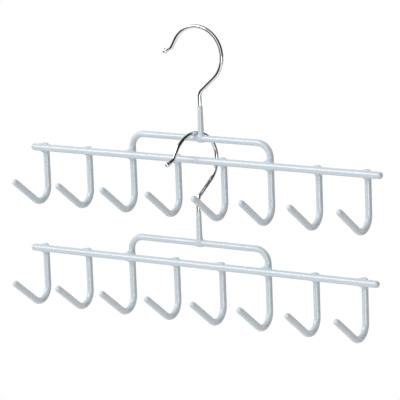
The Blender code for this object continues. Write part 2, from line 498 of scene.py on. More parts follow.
class NodeSheet:
    """Adds nodes to one node tree and joins their sockets."""

    COLUMN = 190
    MIX_INPUTS = (0, 6, 7)  # the Mix node's share and its two colours
    MIX_OUTPUT = 2  # its colour

    def __init__(self, tree: bpy.types.NodeTree) -> None:
        """Keep the tree that the nodes go to."""
        self.tree = tree
        self.added = 0

    def feed(self, socket: Socket, value: Input) -> None:
        """Give an input its value.

        Args:
            socket: The input.
            value: A plain value, or another node's output.
        """
        if isinstance(value, Socket):
            self.tree.links.new(value, socket)
        else:
            socket.default_value = value

    def add(self, kind: str, inputs: dict | None = None, **settings: object) -> bpy.types.Node:
        """Add one node.

        Args:
            kind: The node's type.
            inputs: A value or another node's output for each named or numbered input.
            settings: The node's own settings.

        Returns:
            The new node.
        """
        node = self.tree.nodes.new(kind)
        node.location = (self.added * self.COLUMN, 0)
        self.added += 1
        for name, value in settings.items():
            setattr(node, name, value)
        for key, value in (inputs or {}).items():
            self.feed(node.inputs[key], value)
        return node

    def math(self, operation: str, first: Input, second: Input = 0.0) -> Socket:
        """Add a Math node and return its output."""
        return self.add("ShaderNodeMath", {0: first, 1: second}, operation=operation).outputs[0]

    def ramp(self, value: Input, start: float, end: float, low: float = 0.0, high: float = 1.0) -> Socket:
        """Turn a value smoothly from low, up to the start, to high, from the end on."""
        inputs = {"Value": value, "From Min": start, "From Max": end, "To Min": low, "To Max": high}
        return self.add("ShaderNodeMapRange", inputs, interpolation_type="SMOOTHSTEP").outputs["Result"]

    def mix(self, share: Input, first: Input, second: Input) -> Socket:
        """Mix two colours and return the mixture's socket."""
        inputs = dict(zip(self.MIX_INPUTS, (share, first, second)))
        return self.add("ShaderNodeMix", inputs, data_type="RGBA").outputs[self.MIX_OUTPUT]

    def noise(self, place: Socket, scale: float, detail: float) -> Socket:
        """Add a cloudy texture and return its value, around a half."""
        inputs = {"Vector": place, "Scale": scale, "Detail": detail}
        return self.add("ShaderNodeTexNoise", inputs).outputs[0]

    def swing(self, value: Socket, size: Input) -> Socket:
        """Centre a cloudy value on 0, scale it, and return the socket."""
        return self.math("MULTIPLY", self.math("SUBTRACT", value, 0.5), size)

    def dot(self, direction: Socket, axis: Vector) -> Socket:
        """Return how far a direction goes along an axis."""
        inputs = {0: direction, 1: tuple(axis)}
        return self.add("ShaderNodeVectorMath", inputs, operation="DOT_PRODUCT").outputs["Value"]

    def bump(self, *layers: tuple[Socket, Socket]) -> Socket:
        """Add up layers of height.

        Args:
            layers: Each layer's value and its depth in metres.

        Returns:
            The bumped normal's socket.
        """
        height: Input = 0.0
        for value, depth in layers:
            height = self.math("ADD", height, self.math("MULTIPLY", value, depth))
        node = self.add("ShaderNodeBump", {"Strength": 1.0, "Distance": 1.0, "Height": height})
        return node.outputs["Normal"]


class EffectGroup:
    """A shader node group that several materials use, built once."""

    NAME = ""
    INPUTS: tuple[str, ...] = ()
    OUTPUTS: tuple[str, ...] = ()
    # The sockets that hold more than one number
    KINDS = {"Place": "Vector", "Normal": "Vector", "Colour": "Color", "Second Colour": "Color"}

    def tree(self) -> bpy.types.NodeTree:
        """Build the group, or find it where it is already built.

        Returns:
            The group.
        """
        found = bpy.data.node_groups.get(self.NAME)
        if found is not None:
            return found
        tree = bpy.data.node_groups.new(self.NAME, "ShaderNodeTree")
        for way, names in (("INPUT", self.INPUTS), ("OUTPUT", self.OUTPUTS)):
            for name in names:
                kind = f"NodeSocket{self.KINDS.get(name, 'Float')}"
                tree.interface.new_socket(name, in_out=way, socket_type=kind)
        sheet = NodeSheet(tree)
        given = sheet.add("NodeGroupInput").outputs
        sheet.add("NodeGroupOutput", self.draw(sheet, given))
        return tree

    def draw(self, sheet: NodeSheet, given: Sockets) -> dict[str, Socket]:
        """Add the effect's nodes, and return the socket that feeds each named output."""
        raise NotImplementedError

    def place(self, sheet: NodeSheet, inputs: dict[str, Input]) -> Sockets:
        """Add the group to a material with its own values, and return its outputs."""
        return sheet.add("ShaderNodeGroup", inputs, node_tree=self.tree()).outputs


# What every finish gives to its skin
FINISH_INPUTS = ("Place", "Colour", "Second Colour", "Roughness")


class DippedSkin(EffectGroup):
    """The soft skin of a dipped coating: clouded tone, a darker tone where coating pools and as painted
    shade in creases, and orange peel.
    """

    NAME = "dipped_skin"
    INPUTS = (*FINISH_INPUTS, "Pooling And Shade", "Clouding", "Peel Depth", "Flow Depth")
    OUTPUTS = ("Colour", "Roughness", "Normal")
    CLOUDS = {"scale": 55.0, "detail": 3.0}
    FLOW = {"scale": 230.0, "detail": 1.0}
    PEEL = {"scale": 1500.0, "detail": 2.0}
    TONE_RANGE = (-0.5, 1.5)
    FLOW_ROUGHNESS = 0.07
    PEEL_ROUGHNESS = 0.05

    def draw(self, sheet: NodeSheet, given: Sockets) -> dict[str, Socket]:
        """Add the skin's nodes.

        Args:
            sheet: The group's nodes.
            given: The group's inputs.

        Returns:
            The socket that feeds each named output.
        """
        clouds = sheet.noise(given["Place"], **self.CLOUDS)
        flow = sheet.noise(given["Place"], **self.FLOW)
        peel = sheet.noise(given["Place"], **self.PEEL)
        # The pooling input darkens the tone: thicker coating at wire ends, and painted shade deep in the
        # webs' creases.
        pooled = sheet.math("ADD", given["Pooling And Shade"], sheet.swing(clouds, given["Clouding"]))
        share = sheet.ramp(pooled, *self.TONE_RANGE)
        patches = sheet.swing(flow, self.FLOW_ROUGHNESS)
        patches = sheet.math("ADD", patches, sheet.swing(peel, self.PEEL_ROUGHNESS))
        return {
            "Colour": sheet.mix(share, given["Colour"], given["Second Colour"]),
            "Roughness": sheet.math("ADD", given["Roughness"], patches),
            "Normal": sheet.bump((flow, given["Flow Depth"]), (peel, given["Peel Depth"])),
        }


class PolishedSkin(EffectGroup):
    """The skin of bright plating: a slight wave, fine grain and handling smears."""

    NAME = "polished_skin"
    INPUTS = (*FINISH_INPUTS, "Smearing", "Wave Depth", "Grain Depth")
    OUTPUTS = ("Colour", "Roughness", "Normal")
    SMEARS = {"scale": 120.0, "detail": 4.0}
    WAVES = {"scale": 260.0, "detail": 1.0}
    GRAIN = {"scale": 4200.0, "detail": 2.0}
    SMEAR_EDGE = (0.48, 0.72)
    SMEAR_ROUGHNESS = 0.12

    def draw(self, sheet: NodeSheet, given: Sockets) -> dict[str, Socket]:
        """Add the skin's nodes.

        Args:
            sheet: The group's nodes.
            given: The group's inputs.

        Returns:
            The socket that feeds each named output.
        """
        smears = sheet.ramp(sheet.noise(given["Place"], **self.SMEARS), *self.SMEAR_EDGE)
        smeared = sheet.math("MULTIPLY", smears, given["Smearing"])
        dulled = sheet.math("MULTIPLY", smeared, self.SMEAR_ROUGHNESS)
        wave = sheet.noise(given["Place"], **self.WAVES)
        grain = sheet.noise(given["Place"], **self.GRAIN)
        return {
            "Colour": sheet.mix(smeared, given["Colour"], given["Second Colour"]),
            "Roughness": sheet.math("ADD", given["Roughness"], dulled),
            "Normal": sheet.bump((wave, given["Wave Depth"]), (grain, given["Grain Depth"])),
        }


class FineDust(EffectGroup):
    """Sparse specks of lint, as one mask."""

    NAME = "fine_dust"
    INPUTS = ("Place", "Amount")
    OUTPUTS = ("Mask",)
    SPECK_SCALE = 900.0
    SPECK_EDGE = (0.06, 0.10)

    def draw(self, sheet: NodeSheet, given: Sockets) -> dict[str, Socket]:
        """Add the specks' nodes.

        Args:
            sheet: The group's nodes.
            given: The group's inputs.

        Returns:
            The socket that feeds the mask.
        """
        inputs = {"Vector": given["Place"], "Scale": self.SPECK_SCALE}
        cells = sheet.add("ShaderNodeTexVoronoi", inputs).outputs
        speck = sheet.ramp(cells["Distance"], *self.SPECK_EDGE, 1.0, 0.0)
        chosen = sheet.add("ShaderNodeSeparateColor", {0: cells["Color"]}).outputs[0]
        kept = sheet.math("LESS_THAN", chosen, given["Amount"])
        return {"Mask": sheet.math("MULTIPLY", speck, kept)}


@dataclass(frozen=True)
class Finish:
    """A material's name, its tones and the lint on it."""

    name: str
    colour: Colour
    second: Colour  # the darker tone where it has pooled, as painted shade in a crease, and where it is smeared
    roughness: float
    dust: float  # the share of specks that show

    SKIN = EffectGroup
    LINT = (0.76, 0.76, 0.75, 1.0)

    def material(self) -> bpy.types.Material:
        """Make the finish's material, or find it where it is already made.

        Returns:
            The material.
        """
        found = bpy.data.materials.get(self.name)
        if found is not None:
            return found
        material = bpy.data.materials.new(self.name)
        material.use_nodes = True
        shader = material.node_tree.nodes["Principled BSDF"].inputs
        sheet = NodeSheet(material.node_tree)
        place = sheet.add("ShaderNodeTexCoord").outputs["Object"]
        shared = dict(zip(FINISH_INPUTS, (place, self.colour, self.second, self.roughness)))
        skin = self.SKIN().place(sheet, {**shared, **self.details(sheet)})
        specks = FineDust().place(sheet, {"Place": place, "Amount": self.dust})
        sheet.feed(shader["Base Color"], sheet.mix(specks["Mask"], skin["Colour"], self.LINT))
        sheet.feed(shader["Roughness"], skin["Roughness"])
        sheet.feed(shader["Normal"], skin["Normal"])
        for socket, value in self.constants().items():
            shader[socket].default_value = value
        return material

    def details(self, sheet: NodeSheet) -> dict[str, Input]:
        """Return the values that this finish's own skin needs as well."""
        raise NotImplementedError

    def constants(self) -> dict[str, float]:
        """Return the shader's values that are the same all over."""
        raise NotImplementedError


@dataclass(frozen=True)
class CoatFinish(Finish):
    """Pale blue dipped coating."""

    colour: Colour = (0.604, 0.672, 0.716, 1.0)
    # The second tone is the darker one, for pooled coating and for painted shade in the webs' creases.
    second: Colour = (0.574, 0.644, 0.690, 1.0)
    roughness: float = 0.2
    dust: float = 0.01
    clouding: float = 0.9  # how uneven its tone is
    peel_depth: float = 0.001 * MM
    flow_depth: float = 0.018 * MM
    gloss: float = 0.8  # the share of clear gloss over it

    SKIN = DippedSkin
    IOR = 1.5
    GLOSS_ROUGHNESS = 0.06

    def details(self, sheet: NodeSheet) -> dict[str, Input]:
        """Return the values that the dipped skin needs as well."""
        pooling_and_shade = sheet.add("ShaderNodeAttribute", attribute_name="pooling_and_shade").outputs["Fac"]
        return {
            "Pooling And Shade": pooling_and_shade,
            "Clouding": self.clouding,
            "Peel Depth": self.peel_depth,
            "Flow Depth": self.flow_depth,
        }

    def constants(self) -> dict[str, float]:
        """Return the shader's values that are the same all over."""
        return {"IOR": self.IOR, "Coat Weight": self.gloss, "Coat Roughness": self.GLOSS_ROUGHNESS}


@dataclass(frozen=True)
class PlatingFinish(Finish):
    """Bright plating over drawn wire."""

    colour: Colour = (0.88, 0.885, 0.90, 1.0)
    second: Colour = (0.80, 0.80, 0.81, 1.0)
    roughness: float = 0.03
    dust: float = 0.005
    smearing: float = 0.5  # how much the handling smears show
    wave_depth: float = 0.008 * MM
    grain_depth: float = 0.0002 * MM

    SKIN = PolishedSkin

    def details(self, sheet: NodeSheet) -> dict[str, Input]:
        """Return the values that the polished skin needs as well."""
        return {
            "Smearing": self.smearing,
            "Wave Depth": self.wave_depth,
            "Grain Depth": self.grain_depth,
        }

    def constants(self) -> dict[str, float]:
        """Return the shader's values that are the same all over."""
        return {"Metallic": 1.0}


@dataclass(frozen=True)
class Plan:
    """One hanger's places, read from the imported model."""

    tier: Tier
    bar_radius: float
    arm_radius: float
    bar: Vector  # the left end of the crossbar's axis
    bar_length: float
    first_arm: float  # how far along the first arm stands
    back: float  # where the arms and the bow lie, front to back
    arm_top: float
    stem: Vector  # the stem's axis at the sleeve's top
    rivet_foot: float  # the height of the rivet head's underside

    WEB_SINK = 0.06 * MM  # how far a web lies under what it joins, away from its crease
    POOL_AND_SHADE_SHARE = 0.25  # the depth, as a share of the fillet, from which the web's crease takes the full darker tone: painted shade as well as pooled coating
    WEB_FINISH = CoatFinish("web_coating", flow_depth=0.05 * MM)

    @classmethod
    def read(cls, tier: Tier) -> "Plan":
        """Read a hanger's places from its nodes and its swivel.

        Args:
            tier: Which of the two hangers it is.

        Returns:
            The hanger's plan.
        """
        bar_low, bar_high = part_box(f"{tier.value}_crossbar")
        arm_low, arm_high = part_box(f"{tier.value}_arm_1")
        hook_low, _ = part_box(f"{tier.value}_hook")
        swivel = next(j for j in frame["joints"] if j["name"] == f"{tier.value}_frame_swivel")
        arm_radius = (arm_high.x - arm_low.x) / 2
        return cls(
            tier=tier,
            bar_radius=(bar_high.z - bar_low.z) / 2,
            arm_radius=arm_radius,
            bar=Vector((bar_low.x, (bar_low.y + bar_high.y) / 2, (bar_low.z + bar_high.z) / 2)),
            bar_length=bar_high.x - bar_low.x,
            first_arm=(arm_low.x + arm_high.x) / 2,
            back=arm_high.y - arm_radius,
            arm_top=arm_high.z,
            stem=Vector(swivel["pos_m"]),
            rivet_foot=hook_low.z,
        )

    def add(
        self, shell: Shell, part: str, body: str, slot: Slot, finish: Finish, *nodes: str
    ) -> bpy.types.Object:
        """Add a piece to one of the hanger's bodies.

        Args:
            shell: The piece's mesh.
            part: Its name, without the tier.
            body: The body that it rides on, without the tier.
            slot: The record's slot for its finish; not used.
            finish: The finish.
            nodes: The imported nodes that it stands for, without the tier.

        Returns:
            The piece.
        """
        name = self.tier.value
        piece = shell.to_piece(f"{name}_{part}", finish.material())
        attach(piece, f"{name}_{body}")
        if nodes:
            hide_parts(*[f"{name}_{node}" for node in nodes])
        LOG.info("%s: %d points, %d faces", piece.name, len(shell.points), len(shell.faces))
        return piece

    def add_web(
        self, part: str, solids: Pair, cut: Field, fillet: float, space: tuple[Vector, Vector, float]
    ) -> None:
        """Add the web that the coating leaves where two solids meet.

        Args:
            part: The web's name, without the tier.
            solids: Gives the distances to the two solids.
            cut: Gives how far points lie outside the web's own space.
            fillet: The fillet's radius.
            space: The lowest and the highest corner round the web, and the cells' size.
        """

        def shape(points: Array) -> Array:
            """Return the distance to the web, just under the skin of what it joins."""
            return np.maximum(Solids.bridge(*solids(points), fillet) + self.WEB_SINK, cut(points))

        points, faces, normals = FieldMesher(shape, *space).draw()
        # Deeper in the crease the web turns darker: painted shade, as well as thicker pooled coating.
        pooling_and_shade = np.clip(np.minimum(*solids(points)) / (self.POOL_AND_SHADE_SHARE * fillet), 0.0, 1.0)
        self.add(Shell(points, faces, pooling_and_shade, normals), part, "frame", Slot.COATING, self.WEB_FINISH)


@dataclass
class CoatedFrame:
    """One hanger's coated wires: the crossbar, the arms, the bow and their welds."""

    plan: Plan
    pitch: float = 45.0 * MM
    arm_count: int = 8
    bow_arms: tuple[int, int] = (3, 6)  # the arms that the bow's wire ends in
    drop: float = 45.3 * MM  # from the crossbar's axis to the lowest of the arms' axes
    bend_radius: float = 11.7 * MM
    prong_angle: float = 36.2  # degrees over level
    prong_length: float = 36.2 * MM
    bow_rise: float = 17.3 * MM  # from the crossbar's axis to the bow's
    corner_radius: float = 11.5 * MM
    web_radius: float = 5.4 * MM
    web_spread: float = 0.1  # how far the welds differ, as a share of the fillet
    step: float = 1.0 * MM  # between rings

    RIPPLE = 0.012
    RIPPLE_SHIFTS = {Tier.UPPER: 0, Tier.LOWER: 20}
    POOL_REACH = 5.0 * MM
    WEB_CELL = 0.42 * MM
    WEB_HALF = 8.5 * MM
    WEB_PACE = 2.3  # sets how the fillets differ from weld to weld
    WEB_SHIFTS = {Tier.UPPER: 0.0, Tier.LOWER: 1.0}
    WIRE_FINISH = CoatFinish("wire_coating")

    def arm_x(self, number: int) -> float:
        """Return how far along an arm stands, counted from 1 at the left."""
        return self.plan.first_arm + (number - 1) * self.pitch

    def add_wire(self, axis: Array, radius: float, part: str, end: EndShape, seed: int) -> None:
        """Add one coated wire in place of its node.

        Args:
            axis: The wire's axis as points.
            radius: The wire's radius.
            part: The node's name, without the tier.
            end: The shape of its two ends.
            seed: Shifts the coating's ripple.
        """
        length = float(walked(axis)[-1])
        cap = domed_end(radius, end)
        rows = fill_rows(cap, cap, length, round((length - 2 * radius) / self.step) + 1)
        seed += self.RIPPLE_SHIFTS[self.plan.tier]
        shell = WireSkin(ripple=self.RIPPLE, seed=seed, pool_reach=self.POOL_REACH).sweep(axis, rows)
        self.plan.add(shell, f"{part}_wire", "frame", Slot.COATING, self.WIRE_FINISH, part)

    def build_crossbar(self) -> None:
        """Build the straight bar in front of the arms."""
        path = WirePath((0.0, 0.0), 0.0).run(self.plan.bar_length)
        axis = path.stand(self.plan.bar, RIGHT)
        self.add_wire(axis, self.plan.bar_radius, "crossbar", EndShape.BAR, 0)

    def arm_axis(self, number: int, top: float) -> Array:
        """Follow an arm from its top to its prong's tip.

        Args:
            number: The arm's number.
            top: The top's height over the crossbar's axis.

        Returns:
            The axis's points.
        """
        path = WirePath((0.0, top), -90.0).run(top - self.bend_radius + self.drop)
        path.bend(self.bend_radius, 90.0 + self.prong_angle).run(self.prong_length)
        origin = Vector((self.arm_x(number), self.plan.back, self.plan.bar.z))
        return path.stand(origin, FRONT)

    def build_arms(self) -> None:
        """Build the arms that are wires of their own."""
        top = self.plan.arm_top - self.plan.bar.z
        for number in range(1, self.arm_count + 1):
            if number not in self.bow_arms:
                axis = self.arm_axis(number, top)
                self.add_wire(axis, self.plan.arm_radius, f"arm_{number}", EndShape.PRONG, number)

    def build_bow(self) -> None:
        """Build the bow with the two arms that its wire ends in."""
        left, right = self.bow_arms
        corner = self.bow_rise - self.corner_radius
        straight = self.arm_x(right) - self.arm_x(left) - 2 * self.corner_radius
        path = WirePath((self.arm_x(left), corner), 90.0).bend(self.corner_radius, -90.0)
        path.run(straight).bend(self.corner_radius, -90.0)
        over = path.stand(Vector((0.0, self.plan.back, self.plan.bar.z)), RIGHT)
        axis = [self.arm_axis(left, corner)[::-1], over[1:-1], self.arm_axis(right, corner)]
        radius = self.plan.arm_radius
        self.add_wire(np.concatenate(axis), radius, "bow", EndShape.PRONG, self.arm_count + 1)

    def build_welds(self) -> None:
        """Build the web that the coating leaves at each weld."""
        for number in range(1, self.arm_count + 1):
            spread = self.web_spread * math.sin(self.WEB_PACE * number + self.WEB_SHIFTS[self.plan.tier])
            self.add_weld(number, self.web_radius * (1.0 + spread))

    def add_weld(self, number: int, fillet: float) -> None:
        """Add one weld's web, between the crossbar and an arm's shank.

        Args:
            number: The arm's number.
            fillet: The fillet's radius.
        """
        plan = self.plan
        through = number in self.bow_arms
        over = self.bow_rise - self.corner_radius if through else self.WEB_HALF
        beyond = UP * (2 * self.WEB_HALF)
        aside = RIGHT * (2 * self.WEB_HALF)
        bar = Vector((self.arm_x(number), plan.bar.y, plan.bar.z))
        shank = Vector((bar.x, plan.back, bar.z))
        arm_end = Vector((bar.x, plan.back, plan.arm_top - plan.arm_radius))
        top = shank + beyond if through else arm_end

        def wires(points: Array) -> tuple[Array, Array]:
            """Return the distances to the bar and to the shank."""
            to_bar = Solids.rod(points, bar - aside, bar + aside, plan.bar_radius)
            return to_bar, Solids.rod(points, shank - beyond, top, plan.arm_radius)

        def cut(points: Array) -> Array:
            """Return how far points lie outside the web's space."""
            away = np.maximum(np.abs(points[:, 0] - bar.x), bar.z - points[:, 2]) - self.WEB_HALF
            return np.maximum(away, points[:, 2] - bar.z - over)

        half = Vector((self.WEB_HALF, 0.0, self.WEB_HALF))
        low = bar - half + FRONT * plan.bar_radius
        high = shank + half - FRONT * plan.arm_radius
        plan.add_web(f"weld_{number}_web", wires, cut, fillet, (low, high, self.WEB_CELL))

    def build(self) -> None:
        """Build all of the frame's wires and welds."""
        self.build_crossbar()
        self.build_arms()
        self.build_bow()
        self.build_welds()


@dataclass
class Stem:
    """The sleeve astride the bow, and the web at its foot."""

    plan: Plan
    bow_rise: float  # from the crossbar's axis to the bow's
    bore_radius: float = 1.5 * MM
    chamber_radius: float = 1.9 * MM
    chamber_height: float = 1.8 * MM
    top_radius: float = 2.15 * MM
    foot_radius: float = 2.5 * MM
    edge: float = 0.25 * MM  # the rounding of the top edge
    fillet: float = 1.9 * MM
    swell: Sizes = (4.0 * MM, 2.2 * MM, 2.0 * MM)  # half sizes
    swell_drop: float = 1.5 * MM  # from the bow's axis to the swell's centre
    seat_gap: float = 0.15 * MM  # between the rivet head and the web under it

    SIDES = 48
    STEP = 0.8 * MM
    LIP_RINGS = 7
    INNER_EDGE = 0.1 * MM
    SHARP = math.radians(50.0)
    WEB_CELL = 0.26 * MM
    WEB_HALF = 12.0 * MM
    WEB_RISE = 4.0 * MM
    SWELL_BLEND = 1.5 * MM
    FINISH = CoatFinish("sleeve_coating", colour=(0.600, 0.668, 0.708, 1.0), clouding=0.35, gloss=0.7)

    def outside(self, height: Array) -> Array:
        """Find the sleeve's outer radius.

        Args:
            height: Where to find it.

        Returns:
            The radius at each height.
        """
        foot = self.plan.rivet_foot
        share = np.clip((height - foot) / (self.plan.stem.z - foot), 0.0, 1.0)
        return self.foot_radius + (self.top_radius - self.foot_radius) * share

    def section(self) -> Array:
        """Draw the sleeve's closed section, up its outside and down its inside.

        Returns:
            The section's points as radius and height.
        """
        top = self.plan.stem.z
        foot = self.plan.rivet_foot
        ceiling = foot + self.chamber_height
        heights = np.arange(foot - self.edge, top - self.edge, self.STEP)
        wall = np.stack([self.outside(heights), heights], axis=1)
        angles = np.radians(np.linspace(0.0, 90.0, self.LIP_RINGS))
        lip = np.stack([np.cos(angles), np.sin(angles)], axis=1) * self.edge
        lip += (self.top_radius - self.edge, top - self.edge)
        rim = [(self.bore_radius + self.INNER_EDGE, top), (self.bore_radius, top - self.INNER_EDGE)]
        depths = np.arange(top - self.STEP, ceiling + self.STEP / 2, -self.STEP)
        bore = np.stack([np.full_like(depths, self.bore_radius), depths], axis=1)
        radii = (self.bore_radius, self.chamber_radius, self.chamber_radius)
        chamber = np.stack([radii, (ceiling, ceiling, foot)], axis=1)
        return np.concatenate([wall, lip, rim, bore, chamber])

    def build_sleeve(self) -> None:
        """Build the turned sleeve with its bore and its chamber."""
        section = self.section()
        rings = np.empty((len(section), self.SIDES, 3))
        rings[:, :, :2] = np.array(self.plan.stem.xy) + section[:, :1, None] * circle(self.SIDES)
        rings[:, :, 2] = section[:, 1:]
        starts = np.arange(len(section)) * self.SIDES
        faces = join_rings(starts, np.roll(starts, -1), self.SIDES)
        shell = Shell(rings.reshape(-1, 3), faces, np.zeros(rings.size // 3))
        piece = self.plan.add(shell, "sleeve_tube", "frame", Slot.COATING, self.FINISH, "hook_sleeve")
        piece.data.set_sharp_from_angle(angle=self.SHARP)

    def build_foot(self) -> None:
        """Build the fillet round the sleeve's foot and the swell under the bow."""
        plan = self.plan
        axis = Vector((plan.stem.x, plan.back, plan.bar.z + self.bow_rise))
        aside = RIGHT * (2 * self.WEB_HALF)
        swell = axis - UP * self.swell_drop
        roof = axis.z + plan.arm_radius + self.WEB_RISE

        def from_stem(points: Array) -> Array:
            """Return the distance to the stem's axis."""
            return np.hypot(points[:, 0] - axis.x, points[:, 1] - axis.y)

        def parts(points: Array) -> tuple[Array, Array]:
            """Measure from what the web joins.

            Args:
                points: Where to measure.

            Returns:
                The distances to the bow with its swell, and to the sleeve.
            """
            bow = Solids.rod(points, axis - aside, axis + aside, plan.arm_radius)
            bead = Solids.bead(points, swell, self.swell)
            sleeve = from_stem(points) - self.outside(points[:, 2])
            sleeve = np.maximum(sleeve, axis.z - points[:, 2])
            return Solids.bridge(bow, bead, self.SWELL_BLEND), sleeve

        def cut(points: Array) -> Array:
            """Measure from the web's own space, with the chamber left open.

            Args:
                points: Where to measure.

            Returns:
                How far each point lies outside it.
            """
            above = plan.rivet_foot - self.seat_gap - points[:, 2]
            chamber = np.maximum(from_stem(points) - self.chamber_radius, above)
            away = np.maximum(np.abs(points[:, 0] - axis.x) - self.WEB_HALF, points[:, 2] - roof)
            return np.maximum(-chamber, away)

        reach = plan.arm_radius + self.fillet
        low = axis - Vector((self.WEB_HALF, reach, reach))
        high = Vector((axis.x + self.WEB_HALF, axis.y + reach, roof))
        # This web is also darker deep in its crease: painted shade, as well as pooled coating.
        plan.add_web("stem_foot_web", parts, cut, self.fillet, (low, high, self.WEB_CELL))

    def build(self) -> None:
        """Build the sleeve and its foot."""
        self.build_sleeve()
        self.build_foot()


@dataclass
class WireHook:
    """One plated hook: rivet head, journal, shank, neck, ring, lip and ball."""

    plan: Plan
    turn: float  # which way the hook faces, in degrees about the stem
    radius: float = 1.6 * MM
    head_radius: float = 1.6 * MM
    head_height: float = 1.5 * MM
    journal_radius: float = 1.2 * MM  # where the hook turns in the sleeve's bore
    clearance: float = 0.3 * MM  # between the sleeve's top and the shank's shoulder
    chamfer: float = 0.3 * MM
    neck_height: float = 8.3 * MM  # the straight shank over the sleeve's top
    neck_radius: float = 7.0 * MM
    neck_angle: float = 49.0  # degrees, as the ring's and the lip's
    ring_radius: float = 23.93 * MM
    ring_offset: float = -1.27 * MM  # from the stem's axis to the ring's centre
    ring_angle: float = 199.0
    throat: float = 6.5 * MM  # the straight run after the ring
    lip_radius: float = 5.0 * MM
    lip_angle: float = 36.0
    lip_length: float = 7.4 * MM
    ball_radius: float = 2.2 * MM
    step: float = 0.6 * MM  # between rings

    BALL_BLEND = 0.5 * MM
    BALL_REACH = 2.4
    BALL_RINGS = 14
    SHARP = math.radians(40.0)
    FINISH = PlatingFinish("bright_plating")

    def axis(self) -> Array:
        """Follow the hook from its rivet head to its tip.

        Returns:
            The axis's points.
        """
        rising = math.radians(90.0 - self.neck_angle)
        neck_reach = self.neck_radius * (1.0 - math.sin(rising))
        ring_reach = self.ring_offset + self.ring_radius * math.sin(rising)
        slant = (ring_reach - neck_reach) / math.cos(rising)
        foot = self.plan.rivet_foot - self.plan.stem.z
        path = WirePath((0.0, foot), 90.0).run(self.neck_height - foot)
        path.bend(self.neck_radius, -self.neck_angle).run(slant)
        path.bend(self.ring_radius, self.ring_angle).run(self.throat)
        path.bend(self.lip_radius, -self.lip_angle).run(self.lip_length)
        return path.stand(self.plan.stem, Vector((*unit(math.radians(self.turn)), 0.0)))

    def ball(self) -> Array:
        """Shape the tip from its pole to the plain wire.

        Returns:
            How far in each ring lies, and its radius.
        """
        size = self.ball_radius
        depth = np.linspace(size, self.BALL_REACH * size, self.BALL_RINGS)[1:]
        sphere = np.sqrt(np.maximum(size**2 - (depth - size) ** 2, 0.0))
        near = np.maximum(self.BALL_BLEND - np.abs(sphere - self.radius), 0.0) / self.BALL_BLEND
        width = np.maximum(sphere, self.radius) + near**3 * self.BALL_BLEND / 6.0
        return np.concatenate([domed_end(size, EndShape.BALL), np.stack([depth, width], axis=1)])

    def rows(self, length: float) -> Array:
        """Shape the hook along its axis.

        Args:
            length: The axis's length.

        Returns:
            Each ring's distance along the hook and its radius.
        """
        shoulder = self.plan.stem.z + self.clearance - self.plan.rivet_foot
        start = [
            (0.0, 0.0),
            (0.0, self.head_radius - self.chamfer),
            (self.chamfer, self.head_radius),
            (self.head_height - self.chamfer, self.head_radius),
            (self.head_height, self.journal_radius),
            (shoulder - self.chamfer, self.journal_radius),
            (shoulder, self.journal_radius),
            (shoulder + self.chamfer, self.radius),
            (shoulder + 2 * self.chamfer, self.radius),
        ]
        ball = self.ball()
        plain = length - ball[-1, 0] - start[-1][0]
        return fill_rows(np.array(start), ball, length, round(plain / self.step))

    def build(self) -> None:
        """Build the hook in place of its node."""
        axis = self.axis()
        shell = WireSkin().sweep(axis, self.rows(float(walked(axis)[-1])))
        piece = self.plan.add(shell, "hook_wire", "hook", Slot.PLATING, self.FINISH, "hook")
        piece.data.set_sharp_from_angle(angle=self.SHARP)


def toward(azimuth: float, elevation: float) -> Vector:
    """Find a direction in the studio.

    Args:
        azimuth: Its angle to the right of the front, in degrees.
        elevation: Its angle over level, in degrees.

    Returns:
        The unit direction.
    """
    turn = math.radians(azimuth)
    level = math.cos(math.radians(elevation))
    return Vector((math.sin(turn) * level, -math.cos(turn) * level, math.sin(math.radians(elevation))))


@dataclass(frozen=True)
class Softbox:
    """A soft rectangular lamp, placed by its angles in degrees."""

    name: str
    azimuth: float
    elevation: float
    distance: float
    width: float
    height: float
    watts: float


@dataclass(frozen=True)
class Zone:
    """A round zone of the surroundings, soft at its edge and placed by its angles in degrees."""

    azimuth: float
    elevation: float
    edge: Range  # how far along its own direction it starts and is full
    strength: float = 1.0

    def mask(self, sheet: NodeSheet, direction: Socket) -> Socket:
        """Return the zone's mask."""
        along = sheet.dot(direction, toward(self.azimuth, self.elevation))
        return sheet.ramp(along, *self.edge, 0.0, self.strength)


@dataclass(frozen=True)
class Bench:
    """The dark bench low in front: a tilted oval, soft at its edge."""

    azimuth: float = -30.0
    elevation: float = -19.0
    tilt: float = 34.0
    half_width: float = 0.76
    half_height: float = 0.44
    edge: Range = (0.7, 1.3)

    def mask(self, sheet: NodeSheet, direction: Socket) -> Socket:
        """Add the oval's nodes.

        Args:
            sheet: The surroundings' nodes.
            direction: The direction that a ray goes.

        Returns:
            The bench's mask.
        """
        middle = toward(self.azimuth, self.elevation)
        level = toward(self.azimuth + 90.0, 0.0)
        steep = middle.cross(level)
        cosine, sine = unit(math.radians(self.tilt))
        wide = sheet.dot(direction, (level * cosine - steep * sine) / self.half_width)
        tall = sheet.dot(direction, (steep * cosine + level * sine) / self.half_height)
        out = sheet.math("ADD", sheet.math("MULTIPLY", wide, wide), sheet.math("MULTIPLY", tall, tall))
        inside = sheet.ramp(out, *self.edge, 1.0, 0.0)
        ahead = sheet.math("GREATER_THAN", sheet.dot(direction, middle), 0.0)
        return sheet.math("MULTIPLY", inside, ahead)


